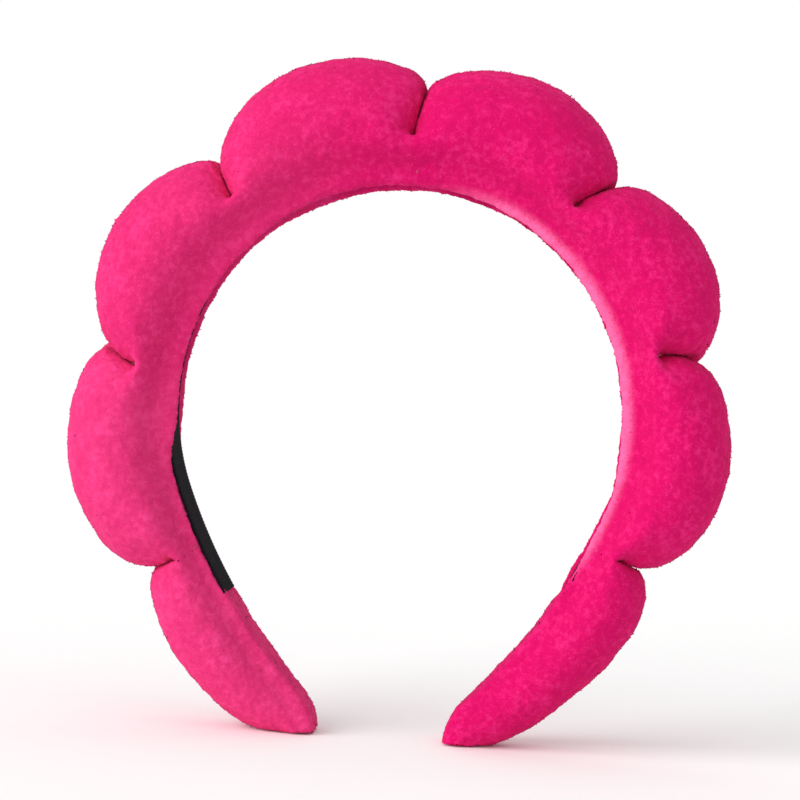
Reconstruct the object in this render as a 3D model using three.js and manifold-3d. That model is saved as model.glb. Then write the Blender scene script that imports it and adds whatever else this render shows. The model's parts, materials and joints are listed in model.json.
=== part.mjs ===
// Padded spa headband: a springy plastic hoop with foam pads on its outside, in a terry sleeve that
// ties cinch into eight puffs, with a lining ribbon on the inner face.
// Millimetres. The band stands on its two tips. Seen from the front, left is -X, +Y is the back and
// +Z is up. The origin is midway between the tips, on the plane that they stand on.
import * as THREE from 'three';
import { LoftGeometry } from 'three/addons/geometries/LoftGeometry.js';
import { mergeVertices } from 'three/addons/utils/BufferGeometryUtils.js';
import Module from 'manifold-3d';

const wasm = await Module();
wasm.setup();

// The band line, from the middle of the crown down to one tip: three arcs and a straight tail.
const CROWN_RADIUS = 60.8;
const CROWN_SWEEP = 62.4;
const SIDE_RADIUS = 64;
const SIDE_SWEEP = 49.3;
const LEG_RADIUS = 151.4;
const LEG_SWEEP = 24.3;
const TAIL_LENGTH = 9.1;

// Hoop: a flat strip on the band line.
const HOOP_THICKNESS = 2;
const HOOP_CROWN_WIDTH = 24;
const HOOP_TIP_WIDTH = 12;
const HOOP_TIP_SETBACK = 13;

// Cover: the wall under the hoop is thinner than the padded wall over the foam.
const COVER_WALL = 2.2;
const COVER_LINING = 1.2;
const COVER_EDGE = 1.8;
const RIDGE_HEIGHT = 3;
const RIDGE_SHARE_AT_TIP = 0.3;

// Lining ribbon.
const RIBBON_WIDTH = 16;
const RIBBON_THICKNESS = 0.6;
const RIBBON_PAST_LAST_PINCH = 14;

// Ties.
const TIE_THREAD = 1;

// Clearances.
const FIT_GAP = 0.3;
const JOINT_GAP = 0.35;
const NECK_HALF_GAP = 1.1;

// Pinches from the crown to the last one: how far down the band line each is sewn on the left and on
// the right, how high the crease stands over the line, its half depth, and how far the hinge there
// opens, in degrees.
const PINCHES = [
  { left: -1.5, right: 1.5, height: 22.8, halfDepth: 17, opening: 0 },
  { left: 42, right: 43.5, height: 19.4, halfDepth: 16.5, opening: 15 },
  { left: 85, right: 82.5, height: 16.8, halfDepth: 15.5, opening: 11 },
  { left: 136.5, right: 129.5, height: 12.4, halfDepth: 12.5, opening: 5.8 },
];

// Puffs from the crown to the last full one: the peak over the band line and the half depth.
const PUFFS = [
  { name: 'crown', peak: 29.2, halfDepth: 22 },
  { name: 'upper', peak: 25.4, halfDepth: 22 },
  { name: 'lower', peak: 23.4, halfDepth: 20.5 },
];

// The end puff swells a little past its pinch and then tapers to the tip.
const END_SWELL = 5;
const END_SWELL_REACH = 14;
const END_HALF_DEPTH = 16;
const TIP_HEIGHT = 8.2;
const TIP_HALF_DEPTH = 7;
const TIP_TUCK = 4.6;
const TIP_TUCK_REACH = 11;

// A crease wall leans back by this angle at the least, and at the last pinch the lean of the end
// puff's wall is gone within this share of the puff.
const LEAST_LEAN = 1;
const END_LEAN_SHARE = 0.125;

// Curves of the padding: below 1 a power gives a boxier section or a slower taper, and the bulge's
// power and fall set how flat a puff's top is and how steeply its ends drop.
const SECTION_POWER = 0.85;
const BULGE_POWER = 2.2;
const BULGE_FALL = 0.8;
const TAPER_POWER = 0.75;

// A layer inside the cover is drawn in by this much of its inset along the base, its section keeps
// this least height and step, and it follows this share of the tip's tuck.
const BASE_INSET_SHARE = 1.2;
const LEAST_STEP = 0.2;
const INNER_TUCK_SHARE = 0.5;

// Where the sections of a puff stand, closer together where its outline turns.
const PUFF_SECTIONS = [-1, -0.9, -0.68, -0.35, 0, 0.35, 0.68, 0.9, 1];
const END_SECTIONS = [0, 0.03, 0.09, 0.18, 0.3, 0.45, 0.6, 0.75, 0.87, 0.94, 1];
const DOME_STEPS = 10;
const STRIP_STEP = 7;

const GROUND_SIZE = 400;
const GROUND_DEPTH = 60;

const degrees = THREE.MathUtils.degToRad;
const { lerp } = THREE.MathUtils;

const terry = new THREE.MeshStandardMaterial({ color: '#e8196f', roughness: 0.95, metalness: 0 });
const foam = new THREE.MeshStandardMaterial({ color: '#f2e6c8', roughness: 1, metalness: 0 });
const plastic = new THREE.MeshStandardMaterial({ color: '#26242a', roughness: 0.45, metalness: 0 });
const ribbon = new THREE.MeshStandardMaterial({ color: '#17131a', roughness: 0.8, metalness: 0 });
const thread = new THREE.MeshStandardMaterial({ color: '#c01058', roughness: 0.8, metalness: 0 });

const ARCS = [
  { radius: CROWN_RADIUS, sweep: degrees(CROWN_SWEEP) },
  { radius: SIDE_RADIUS, sweep: degrees(SIDE_SWEEP) },
  { radius: LEG_RADIUS, sweep: degrees(LEG_SWEEP) },
];
const ARC_LENGTH = ARCS.reduce((sum, arc) => sum + arc.radius * arc.sweep, 0);
const TIP_STATION = ARC_LENGTH + TAIL_LENGTH;

// Where the band line is, a distance down one side from the crown: sideways, down and its heading.
function walkSide(distance) {
  let across = 0;
  let drop = 0;
  let heading = 0;
  let left = distance;
  for (const { radius, sweep } of ARCS) {
    const turn = Math.min(left / radius, sweep);
    across += radius * (Math.sin(heading + turn) - Math.sin(heading));
    drop += radius * (Math.cos(heading) - Math.cos(heading + turn));
    heading += turn;
    left -= turn * radius;
  }
  across += left * Math.cos(heading);
  drop += left * Math.sin(heading);
  return { across, drop, heading };
}

const CROWN_HEIGHT = walkSide(TIP_STATION).drop;

// A point beside the band line. Stations run from the left tip, through 0 at the crown, to the right
// tip; out is away from the head, and slip is along the band.
function beside(station, depth, out, slip = 0) {
  const side = station < 0 ? -1 : 1;
  const { across, drop, heading } = walkSide(Math.abs(station));
  const point = new THREE.Vector3(side * across, depth, CROWN_HEIGHT - drop);
  point.addScaledVector(new THREE.Vector3(side * Math.sin(heading), 0, Math.cos(heading)), out);
  return point.addScaledVector(
    new THREE.Vector3(Math.cos(heading), 0, -side * Math.sin(heading)),
    slip,
  );
}

function solidOf(geometry) {
  const bare = new THREE.BufferGeometry();
  bare.setAttribute('position', geometry.getAttribute('position'));
  bare.setIndex(geometry.index);
  const merged = mergeVertices(bare, 1e-4);
  return new wasm.Manifold(
    new wasm.Mesh({
      numProp: 3,
      vertProperties: merged.attributes.position.array,
      triVerts: new Uint32Array(merged.index.array),
    }),
  );
}

function geometryOf(solid) {
  const mesh = solid.getMesh();
  const geometry = new THREE.BufferGeometry();
  geometry.setAttribute('position', new THREE.BufferAttribute(mesh.vertProperties, 3));
  geometry.setIndex(new THREE.BufferAttribute(mesh.triVerts, 1));
  geometry.computeVertexNormals();
  return geometry;
}

const headband = new THREE.Group();

function addNode(name, solid, material) {
  const mesh = new THREE.Mesh(geometryOf(solid), material);
  mesh.name = name;
  headband.add(mesh);
}

function loft(sections) {
  return solidOf(new LoftGeometry(sections, { capStart: true, capEnd: true }));
}

function hoopHalfWidth(station) {
  const share = Math.min(Math.abs(station) / TIP_STATION, 1);
  return lerp(HOOP_CROWN_WIDTH, HOOP_TIP_WIDTH, share) / 2;
}

// A flat strip that follows the band, from one station to another, between two heights.
function strip(from, to, halfWidthAt, low, high) {
  const steps = Math.max(2, Math.round((to - from) / STRIP_STEP));
  const sections = [];
  for (let i = 0; i <= steps; i++) {
    const station = lerp(from, to, i / steps);
    const half = halfWidthAt(station);
    sections.push([
      beside(station, half, low),
      beside(station, half, high),
      beside(station, -half, high),
      beside(station, -half, low),
    ]);
  }
  return loft(sections);
}

// The outline of a sleeve's section: a dome over a ridge on each side, and a narrower flat base.
function domeOutline({ halfDepth, top, ridge, base, baseHalf }) {
  const points = [];
  for (let i = 0; i <= DOME_STEPS; i++) {
    const turn = (Math.PI * i) / DOME_STEPS;
    const across = Math.sign(Math.cos(turn)) * Math.abs(Math.cos(turn)) ** SECTION_POWER;
    points.push([halfDepth * across, ridge + (top - ridge) * Math.sin(turn) ** SECTION_POWER]);
  }
  points.push([-baseHalf, base], [baseHalf, base]);
  return points;
}

// How far each wall of a crease leans back from the pinch plane, so that the puffs on both sides
// clear each other when the hinge there is open.
function creaseLean({ height, opening }) {
  const spare = Math.atan((NECK_HALF_GAP - FIT_GAP) / height);
  return Math.max(degrees(LEAST_LEAN), degrees(opening) / 2 - spare);
}

const bulge = (u) => (1 - Math.min(1, Math.abs(u)) ** BULGE_POWER) ** BULGE_FALL;

// The size of a full puff's section, u from -1 at its crown side to 1 at its far side.
function fullSize(puff, near, far, u) {
  const share = (u + 1) / 2;
  const crease = lerp(near.height, far.height, share);
  const creaseDepth = lerp(near.halfDepth, far.halfDepth, share);
  return {
    top: lerp(crease, puff.peak, bulge(u)),
    halfDepth: lerp(creaseDepth, puff.halfDepth, bulge(u)),
    tuck: 0,
    ridge: RIDGE_HEIGHT,
  };
}

// The size of the end puff's section, a distance past its pinch, where reach is the whole distance
// to the tip.
function endSize(pinch, reach, distance) {
  const taper = distance / reach;
  const swell = bulge(1 - Math.min(1, distance / END_SWELL_REACH));
  const fall = (1 - taper) ** TAPER_POWER;
  const tuckShare = Math.max(0, 1 - (reach - distance) / TIP_TUCK_REACH);
  const fullDepth = lerp(pinch.halfDepth, END_HALF_DEPTH, swell);
  return {
    top: lerp(TIP_HEIGHT, pinch.height + END_SWELL * swell, fall),
    halfDepth: lerp(TIP_HALF_DEPTH, fullDepth, fall),
    tuck: TIP_TUCK * tuckShare ** 2,
    ridge: lerp(RIDGE_HEIGHT * RIDGE_SHARE_AT_TIP, RIDGE_HEIGHT, 1 - taper),
  };
}

const COVER_BASE = -(HOOP_THICKNESS / 2 + FIT_GAP + COVER_LINING);
const FOAM_BASE = HOOP_THICKNESS / 2 + FIT_GAP;

// The outline of a puff's section, at a depth of inset under the cover's outer surface.
function puffOutline(size, station, inset, base) {
  const outerHalf = hoopHalfWidth(station) + COVER_EDGE;
  const outerBase = COVER_BASE + size.tuck;
  const share = Math.max(0, (base - outerBase) / (size.ridge - outerBase));
  const slopedHalf = lerp(outerHalf, size.halfDepth, Math.min(1, share));
  return domeOutline({
    halfDepth: size.halfDepth - inset,
    top: size.top - inset,
    ridge: Math.max(size.ridge, base + LEAST_STEP),
    base,
    baseHalf: Math.min(
      slopedHalf - inset * BASE_INSET_SHARE,
      size.halfDepth - inset - LEAST_STEP,
    ),
  });
}

const SIDES = [
  { name: 'left', sign: -1 },
  { name: 'right', sign: 1 },
];

// The two ends of a stretch of one side, in the order in which stations rise.
function stretch(side, near, far) {
  return side.sign < 0 ? [-far, -near] : [near, far];
}

// Sections of a puff between two pinches. Its end walls lie inset further in than the cover's.
function fullPuffSections(puff, near, far, side, inset, baseOf) {
  const middle = (near[side.name] + far[side.name]) / 2;
  const reach = (far[side.name] - near[side.name]) / 2 - NECK_HALF_GAP - inset;
  const sections = [];
  for (const u of PUFF_SECTIONS) {
    const lean = u < 0 ? creaseLean(near) : creaseLean(far);
    const size = fullSize(puff, near, far, u);
    const distance = middle + u * reach;
    const outline = puffOutline(size, distance, inset, baseOf(size));
    const slope = -side.sign * u * Math.abs(u) * Math.tan(lean);
    sections.push(leanSection(outline, side.sign * distance, slope));
  }
  return side.sign < 0 ? sections.reverse() : sections;
}

function leanSection(outline, station, slope) {
  return outline.map(([depth, out]) => beside(station, depth, out, slope * Math.max(0, out)));
}

// Sections of an end puff, from its pinch to a setback from the tip.
function endPuffSections(pinch, side, inset, setback, baseOf) {
  const start = NECK_HALF_GAP + inset;
  const reach = TIP_STATION - pinch[side.name];
  const finish = reach - setback;
  const sections = [];
  for (const share of END_SECTIONS) {
    const distance = lerp(start, finish, share);
    const size = endSize(pinch, reach, Math.min(distance, reach));
    const leaning = Math.max(0, 1 - share / END_LEAN_SHARE);
    const slope = side.sign * Math.tan(creaseLean(pinch)) * leaning;
    const station = pinch[side.name] + distance;
    const outline = puffOutline(size, station, inset, baseOf(size));
    sections.push(leanSection(outline, side.sign * station, slope));
  }
  return side.sign < 0 ? sections.reverse() : sections;
}

const coverBase = (size) => COVER_BASE + size.tuck;
const cavityBase = (size) => HOOP_THICKNESS / 2 + size.tuck * INNER_TUCK_SHARE;
const foamBase = (size) => FOAM_BASE + size.tuck * INNER_TUCK_SHARE;

function hoopSlot(from, to) {
  const half = HOOP_THICKNESS / 2 + FIT_GAP;
  return strip(from, to, (s) => hoopHalfWidth(s) + FIT_GAP, -half, half);
}

// What the plane under the tips cuts away.
function groundBlock() {
  const block = new THREE.BoxGeometry(GROUND_SIZE, GROUND_SIZE, GROUND_DEPTH);
  block.translate(0, 0, -GROUND_DEPTH / 2);
  return solidOf(block);
}

function addFullPuff(puff, near, far, side) {
  const name = `${puff.name}_${side.name}`;
  const foamInset = COVER_WALL + FIT_GAP;
  const outer = loft(fullPuffSections(puff, near, far, side, 0, coverBase));
  const cavity = loft(fullPuffSections(puff, near, far, side, COVER_WALL, cavityBase));
  const slot = hoopSlot(...stretch(side, near[side.name], far[side.name]));
  addNode(`cover_${name}`, outer.subtract(cavity).subtract(slot), terry);
  addNode(`foam_${name}`, loft(fullPuffSections(puff, near, far, side, foamInset, foamBase)), foam);
}

function addEndPuff(pinch, side) {
  const name = `end_${side.name}`;
  const foamInset = COVER_WALL + FIT_GAP;
  const hoopEnd = TIP_STATION - HOOP_TIP_SETBACK;
  const foamSetback = HOOP_TIP_SETBACK + FIT_GAP;
  const outer = loft(endPuffSections(pinch, side, 0, -TAIL_LENGTH, coverBase));
  const cavity = loft(endPuffSections(pinch, side, COVER_WALL, HOOP_TIP_SETBACK, cavityBase));
  const slot = hoopSlot(...stretch(side, pinch[side.name], hoopEnd + FIT_GAP));
  const cover = outer.subtract(cavity).subtract(slot).subtract(groundBlock());
  addNode(`cover_${name}`, cover, terry);
  addNode(`foam_${name}`, loft(endPuffSections(pinch, side, foamInset, foamSetback, foamBase)), foam);
}

function addHoopPiece(name, from, to) {
  const half = HOOP_THICKNESS / 2;
  addNode(`hoop_${name}`, strip(from, to, hoopHalfWidth, -half, half), plastic);
}

function addRibbonPiece(name, from, to) {
  const high = COVER_BASE - FIT_GAP;
  const half = () => RIBBON_WIDTH / 2;
  addNode(`ribbon_${name}`, strip(from, to, half, high - RIBBON_THICKNESS, high), ribbon);
}

function roundedOutline(target, halfWidth, halfHeight, radius) {
  target.absarc(halfWidth - radius, halfHeight - radius, radius, 0, Math.PI / 2);
  target.absarc(radius - halfWidth, halfHeight - radius, radius, Math.PI / 2, Math.PI);
  target.absarc(radius - halfWidth, radius - halfHeight, radius, Math.PI, Math.PI * 1.5);
  target.absarc(halfWidth - radius, radius - halfHeight, radius, Math.PI * 1.5, Math.PI * 2);
  return target;
}

// A tie: a loop of thread round the hoop in the plane of a pinch.
function addTie(name, station) {
  const halfWidth = hoopHalfWidth(station) + FIT_GAP;
  const halfHeight = HOOP_THICKNESS / 2 + FIT_GAP;
  const outline = roundedOutline(
    new THREE.Shape(),
    halfWidth + TIE_THREAD,
    halfHeight + TIE_THREAD,
    halfHeight,
  );
  outline.holes.push(roundedOutline(new THREE.Path(), halfWidth, halfHeight, FIT_GAP));
  const loop = new THREE.ExtrudeGeometry(outline, {
    depth: TIE_THREAD,
    bevelEnabled: false,
    curveSegments: 2,
  });
  loop.translate(0, 0, -TIE_THREAD / 2);
  const origin = beside(station, 0, 0);
  const frame = new THREE.Matrix4().makeBasis(
    new THREE.Vector3(0, 1, 0),
    beside(station, 0, 1).sub(origin),
    beside(station, 0, 0, 1).sub(origin),
  );
  loop.applyMatrix4(frame.setPosition(origin));
  addNode(`tie_${name}`, solidOf(loop), thread);
}

const [crownPinch, upperPinch, lowerPinch, endPinch] = PINCHES;

for (const side of SIDES) {
  PUFFS.forEach((puff, i) => addFullPuff(puff, PINCHES[i], PINCHES[i + 1], side));
  addEndPuff(endPinch, side);
}

// The hoop and the ribbon are cut at each hinge.
const crownEnds = [JOINT_GAP - upperPinch.left, upperPinch.right - JOINT_GAP];
addHoopPiece('crown', ...crownEnds);
addRibbonPiece('crown', ...crownEnds);
addTie('crown', crownPinch.right);

for (const side of SIDES) {
  const hoopEnd = TIP_STATION - HOOP_TIP_SETBACK;
  const cuts = [upperPinch, lowerPinch, endPinch].map((pinch) => pinch[side.name]);
  ['upper', 'lower', 'end'].forEach((piece, i) => {
    const name = `${piece}_${side.name}`;
    const near = cuts[i] + JOINT_GAP;
    const hoopFar = i < 2 ? cuts[i + 1] - JOINT_GAP : hoopEnd;
    const ribbonFar = i < 2 ? hoopFar : cuts[i] + RIBBON_PAST_LAST_PINCH;
    addHoopPiece(name, ...stretch(side, near, hoopFar));
    addRibbonPiece(name, ...stretch(side, near, ribbonFar));
    addTie(name, side.sign * cuts[i]);
  });
}

export default headband;
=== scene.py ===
"""Padded spa headband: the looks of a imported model, laid out as an add-on and run as a script.

Metres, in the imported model's frame: the band stands on its two tips, left is -X, the back is +Y and
+Z is up. A station is a distance along the hoop's middle line, negative down the left arm, 0 at the
top and positive down the right arm; depth is along Y, and out is away from the head.
"""

import json
import math

import bpy
import numpy as np
from mathutils import Matrix, Vector

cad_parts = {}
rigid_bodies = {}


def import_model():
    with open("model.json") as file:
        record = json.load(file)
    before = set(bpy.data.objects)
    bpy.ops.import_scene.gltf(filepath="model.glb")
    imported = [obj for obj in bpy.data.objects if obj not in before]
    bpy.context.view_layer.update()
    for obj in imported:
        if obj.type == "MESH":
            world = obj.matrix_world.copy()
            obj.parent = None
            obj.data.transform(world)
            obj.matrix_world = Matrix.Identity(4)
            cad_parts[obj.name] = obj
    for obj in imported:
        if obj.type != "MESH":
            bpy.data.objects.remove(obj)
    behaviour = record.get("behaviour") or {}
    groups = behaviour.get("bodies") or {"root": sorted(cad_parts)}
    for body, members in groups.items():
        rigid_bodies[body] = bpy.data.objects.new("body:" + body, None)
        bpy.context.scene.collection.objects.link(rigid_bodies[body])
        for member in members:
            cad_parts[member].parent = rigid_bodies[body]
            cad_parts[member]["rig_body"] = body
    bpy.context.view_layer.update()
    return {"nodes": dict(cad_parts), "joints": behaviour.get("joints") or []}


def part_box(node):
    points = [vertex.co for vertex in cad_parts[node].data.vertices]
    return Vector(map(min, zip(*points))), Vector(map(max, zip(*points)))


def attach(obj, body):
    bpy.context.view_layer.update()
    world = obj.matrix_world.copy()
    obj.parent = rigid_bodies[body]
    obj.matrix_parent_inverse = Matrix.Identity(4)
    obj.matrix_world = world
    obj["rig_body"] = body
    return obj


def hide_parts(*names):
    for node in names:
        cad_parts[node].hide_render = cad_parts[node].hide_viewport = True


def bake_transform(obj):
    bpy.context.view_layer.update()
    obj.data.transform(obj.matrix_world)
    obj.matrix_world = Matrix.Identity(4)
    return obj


bl_info = {
    "name": "Padded Spa Headband",
    "version": (1, 0, 0),
    "blender": (4, 5, 0),
    "location": "3D View > Sidebar > Headband",
    "description": "Dresses a packed hoop headband in cinched terry puffs",
    "category": "Add Mesh",
}

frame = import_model()

MM = 0.001
SIDES = ("left", "right")
SIGN = {"left": -1, "right": 1}
PARTS = ("crown", "upper", "lower", "end")

# Sizes of the puffs and creases are in millimetres. How high a crease stands over the hoop's middle
# line, its half depth where the tie cinches it and its half depth low on the band's sides, where it
# only dips, from the crown down.
CREASES = ((21.5, 16.2, 19.2), (18.3, 15.8, 18.8), (15.9, 15.0, 18.0), (11.7, 12.2, 14.4))

# How far a crease has strayed down its arm by the time it reaches the band's front, from the crown
# down: the cover is pulled a little off square at each tie.
STRAYS = {"left": (1.6, 2.2, 4.4, 1.0), "right": (-1.6, -3.6, -3.2, -0.4)}

# Each full puff: its peak over the hoop's middle line, its half depth, and how its two shoulders
# fall to their creases, the one nearer the crown first. 0.5 is round and steep, and above 1 is a
# slope that runs in flat.
FULL_PUFFS = {
    ("crown", "left"): (27.9, 20.8, 0.5, 1.2),
    ("crown", "right"): (27.7, 20.8, 0.7, 0.95),
    ("upper", "left"): (24.3, 20.6, 1.1, 0.8),
    ("upper", "right"): (24.9, 20.6, 0.75, 0.95),
    ("lower", "left"): (23.0, 19.2, 0.8, 0.5),
    ("lower", "right"): (21.5, 19.2, 0.5, 1.0),
}

# Each end puff: its peak, how far past the pinch that is, how much it has fallen by the tip along
# its slope and in its rounded toe, and how late the toe rounds.
END_PUFFS = {
    "left": (16.4, 20.0, 4.2, 8.0, 5.0),
    "right": (16.4, 12.0, 9.6, 6.0, 12.0),
}
END_HALF_DEPTH = 15.0
TIP_HALF_DEPTH = 7.5
# Over its last stretch a toe's inner face is tucked up off the floor.
TIP_TUCK = 4.2
TIP_TUCK_REACH = 11 * MM

# Each puff stops this short of its pinches, and no point of it comes closer than the clearance.
CREASE_GAP = 0.02 * MM
CREASE_CLEARANCE = 0.01 * MM

# A puff's rings of points: down a crease's wall, along a full puff and along an end puff; and the
# points over its dome.
WALL_ROWS = 4
DOME_ROWS = 23
TIP_ROWS = 30
DOME_COLUMNS = 33
# The power that squares a section off, and how high a section stands at the bottom of a crease.
SECTION_POWER = 0.86
CREASE_FLOOR = 5.5

# How far over the floor the cover, its toes and its nap stop.
COVER_LIFT = 0.3 * MM
TOE_LIFT = 0.5 * MM
NAP_LIFT = 0.05 * MM

# The cover's relief: each texture, its scale and its strength.
RELIEFS = (
    ("tuft relief", "VORONOI", 1.5 * MM, 0.34 * MM),
    ("nap relief", "CLOUDS", 3.4 * MM, 0.5 * MM),
    ("pad relief", "CLOUDS", 9 * MM, 0.7 * MM),
)

# The cloth is simulated this much larger than life, for this many frames.
CLOTH_SCALE = 10
CLOTH_FRAMES = 18

# A tuft of nap: its half width, how deep its foot sits, how far it lifts off the cover, how far it
# strays from its neighbours and how far it droops.
TUFT_HALF_WIDTH = 0.26 * MM
TUFT_DEPTH = 0.05 * MM
TUFT_LIFT = 0.12
TUFT_SPREAD = 0.6
TUFT_DROOP = 0.25
# The nap lies in patches this wide, in millimetres, along X, Y and Z.
PATCHES = (9.0, 14.0, 6.0)
PATCH_LEAN = 0.16
# A tuft is lighter at its point, and no two are quite alike.
FOOT_TONE = 0.1
POINT_TONE = 0.5
TONE_SPREAD = 0.13

# A foam pad's rings and points, and in millimetres how far it lies inside the cover, short of a
# pinch, short of the tip, and over the hoop's middle line.
PAD_ROWS = 21
PAD_COLUMNS = 22
PAD_INSET = 2.4
PAD_SETBACK = 2.2
PAD_TIP_SETBACK = 13.5
PAD_BASE = 1.6
PAD_END_HEIGHT = 4.0

# The ribbon's two faces, from the hoop's middle line, its ribs and its rounded edges.
RIBBON_FACE = -2.95 * MM
RIBBON_BACK = -2.5 * MM
RIB = 0.9 * MM
RIB_STEPS = 4
RIB_HEIGHT = 0.16 * MM
RIBBON_EDGE = 0.25 * MM

# How far past each hinge a soft piece's bend would reach, from the crown down; nothing bends it.
BEND_REACH = (14, 12, 12)

# A tie is two plies of thread in a squared loop, with this room round the hoop's edge.
PLY_RADIUS = 0.27 * MM
PLY_SIDES = 8
PLY_TWISTS = 26
LOOP_POINTS = 120
LOOP_ROOM = 1.0 * MM
LOOP_HALF_HEIGHT = 1.9 * MM
LOOP_POWER = 0.3

# How many places along the band are tried when the station nearest a point is looked for.
STATION_TRIES = 8001

# The camera, tilted by ROLL, and the lights' strengths and directions.
EYE = (0.045, -0.600, 0.1055)
LOOK_AT = (-0.0002, 0.0, 0.0864)
ROLL = 0.0644
LENS = 106.3
SURROUND_LIGHT = 0.75
KEY_LIGHT = 2.2
KEY_SPREAD = 50
KEY_FROM = (-0.72, -0.58, 0.4)
FLOOR_SIZE = 12


def linear(code):
    """A linear RGBA colour from an sRGB hex value."""
    shares = [int(code[i : i + 2], 16) / 255 for i in (1, 3, 5)]
    return (*[c / 12.92 if c <= 0.04045 else ((c + 0.055) / 1.055) ** 2.4 for c in shares], 1.0)


def length(name, description, default):
    kind = {"unit": "LENGTH", "subtype": "DISTANCE", "precision": 4, "min": 0.0}
    return bpy.props.FloatProperty(name=name, description=description, default=default, **kind)


def angle(name, description, degrees):
    kind = {"unit": "ROTATION", "subtype": "ANGLE", "default": math.radians(degrees)}
    return bpy.props.FloatProperty(name=name, description=description, **kind)


def colour(name, description, code):
    kind = {"subtype": "COLOR", "size": 4, "min": 0.0, "max": 1.0, "default": linear(code)}
    return bpy.props.FloatVectorProperty(name=name, description=description, **kind)


class HeadbandSizes(bpy.types.PropertyGroup):
    """The sizes a user would change"""

    crown_radius: length("Crown radius", "Radius of the hoop over the crown", 60.8 * MM)
    crown_sweep: angle("Crown sweep", "Half the angle of the crown arc", 62.4)
    side_radius: length("Side radius", "Radius of the hoop beside the head", 64 * MM)
    side_sweep: angle("Side sweep", "Angle of each side arc", 49.3)
    leg_radius: length("Leg radius", "Radius of the hoop behind the ears", 151.4 * MM)
    leg_sweep: angle("Leg sweep", "Angle of each leg arc", 24.3)
    tail_length: length("Tail", "Straight end of each arm", 9.1 * MM)
    hoop_crown_width: length("Hoop width at the crown", "Width of the hoop at the top", 24 * MM)
    hoop_tip_width: length("Hoop width at the tips", "Width of the hoop at its ends", 12 * MM)
    ribbon_width: length("Ribbon width", "Width of the lining ribbon", 16 * MM)
    ribbon_past_pinch: length("Ribbon end", "How far the ribbon runs past the last pinch", 14 * MM)
    pile_length: length("Pile length", "Length of the nap on the cover", 0.6 * MM)
    pile_count: bpy.props.IntProperty(
        name="Pile count",
        description="Tufts of nap on each puff",
        default=15000,
        min=0,
    )
    fill: bpy.props.FloatProperty(
        name="Fill",
        description="How full each puff is, from slack to tight",
        default=0.85,
        min=0.0,
        max=1.0,
        subtype="FACTOR",
    )


class HeadbandColours(bpy.types.PropertyGroup):
    """The colours a user would change"""

    terry: colour("Terry", "The cover's main colour", "#CF0C5F")
    terry_deep: colour("Terry, deep", "Between the tufts and down in the nap", "#BE0A5C")
    terry_light: colour("Terry, light", "Where the nap leans to the light", "#E92F81")
    # Painted highlight: this colour is painted on the turned edge and over the left arm where the key
    # light falls; it also tints the sheen.
    terry_sheen_and_painted_highlight: colour("Terry, pale", "Where the nap stands open over a turned edge", "#F8669F")
    foam: colour("Foam", "The pads", "#F1E6CC")
    hoop: colour("Hoop", "The moulded hoop", "#232127")
    ribbon: colour("Ribbon", "The lining ribbon", "#0B090D")
    thread: colour("Thread", "The ties", "#B80E57")
    floor: colour("Floor", "The studio floor", "#FFFFFF")


def sizes():
    return bpy.context.scene.headband_sizes


def colours():
    return bpy.context.scene.headband_colours


# The band


class Band:
    """The hoop's middle line: three arcs and a straight tail down each side."""

    def __init__(self, size):
        self.arcs = (
            (size.crown_radius, size.crown_sweep),
            (size.side_radius, size.side_sweep),
            (size.leg_radius, size.leg_sweep),
        )
        self.tip = sum(radius * sweep for radius, sweep in self.arcs) + size.tail_length
        self.height = float(self.walk(np.array([self.tip]))[1][0])
        self.widths = (size.hoop_crown_width, size.hoop_tip_width)

    def walk(self, distance):
        """How far across, down and round the line has gone at each distance from the crown."""
        across, drop, heading = (np.zeros_like(distance) for _ in range(3))
        left = distance.copy()
        for radius, sweep in self.arcs:
            turn = np.minimum(left / radius, sweep)
            across += radius * (np.sin(heading + turn) - np.sin(heading))
            drop += radius * (np.cos(heading) - np.cos(heading + turn))
            heading += turn
            left -= turn * radius
        return across + left * np.cos(heading), drop + left * np.sin(heading), heading

    def place(self, station, depth, out):
        """Points beside the line."""
        station, depth, out = np.broadcast_arrays(*(np.asarray(v, float) for v in (station, depth, out)))
        side = np.where(station < 0, -1.0, 1.0)
        across, drop, heading = self.walk(np.abs(station))
        x = side * (across + out * np.sin(heading))
        return np.stack([x, depth, self.height - drop + out * np.cos(heading)], -1)

    def along(self, station):
        """The direction of rising stations, at one station."""
        heading = self.walk(np.array([abs(station)]))[2][0]
        side = -1 if station < 0 else 1
        return np.array([math.cos(heading), 0, -side * math.sin(heading)])

    def beside_pinch(self, station, points):
        """How far past a station each nearby point is, toward rising stations, and how far out."""
        left = abs(station)
        for radius, sweep in self.arcs:
            if left < radius * sweep:
                break
            left -= radius * sweep
        middle = self.place(station, 0, 0)
        outward = self.place(station, 0, 1.0) - middle
        spoke = points - (middle - outward * radius)
        up, across = spoke @ outward, spoke @ self.along(station)
        return np.arctan2(across, up) * radius, np.hypot(up, across) - radius

    def half_width(self, station):
        """Half the hoop's width."""
        share = np.clip(np.abs(station) / self.tip, 0, 1)
        return (self.widths[0] + (self.widths[1] - self.widths[0]) * share) / 2

    def station_of(self, point):
        """The station nearest a point."""
        stations = np.linspace(-self.tip, self.tip, STATION_TRIES)
        return float(stations[np.argmin(((self.place(stations, 0, 0) - point) ** 2).sum(1))])


def pinch_distances(band):
    """How far down each arm each pinch is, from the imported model's tie and hinges."""
    low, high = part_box("tie_crown")
    crown = band.station_of(np.array((low + high) / 2))
    found = {}
    for side in SIDES:
        found[side] = [SIGN[side] * crown]
        for part in PARTS[1:]:
            joint = next(j for j in frame["joints"] if j["name"] == f"{side}_{part}_flex")
            found[side].append(abs(band.station_of(np.array(joint["pos_m"], float))))
    return found


def smooth(low, high, value):
    share = np.clip((value - low) / (high - low), 0, 1)
    return share * share * (3 - 2 * share)


def mix(a, b, share):
    return a + (b - a) * share


def power(base, exponent):
    return np.clip(base, 0, None) ** exponent


# Meshes


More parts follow.
